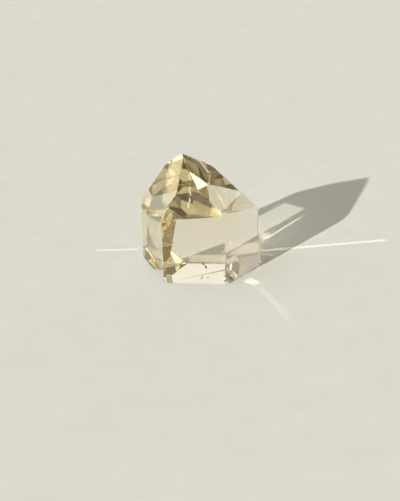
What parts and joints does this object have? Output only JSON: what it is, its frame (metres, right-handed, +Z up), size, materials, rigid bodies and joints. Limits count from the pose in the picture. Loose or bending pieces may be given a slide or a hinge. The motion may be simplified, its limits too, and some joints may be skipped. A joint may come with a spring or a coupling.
{
  "type": "citrine tower",
  "caption": "Clear pale golden quartz crystal, ground and polished to a short faceted point that stands upright on its flat base.",
  "frame": {"origin": "on the surface that the stone stands on, under the middle of its box", "axes": "+Z up, -Y the front with the widest clear face, +X to the right seen from the front"},
  "size_m": [0.0474, 0.0344, 0.0503],
  "materials": {
    "clear_citrine": "polished"
  },
  "bodies": {
    "root": {"citrine_tower": "clear_citrine"}
  },
  "joints": []
}
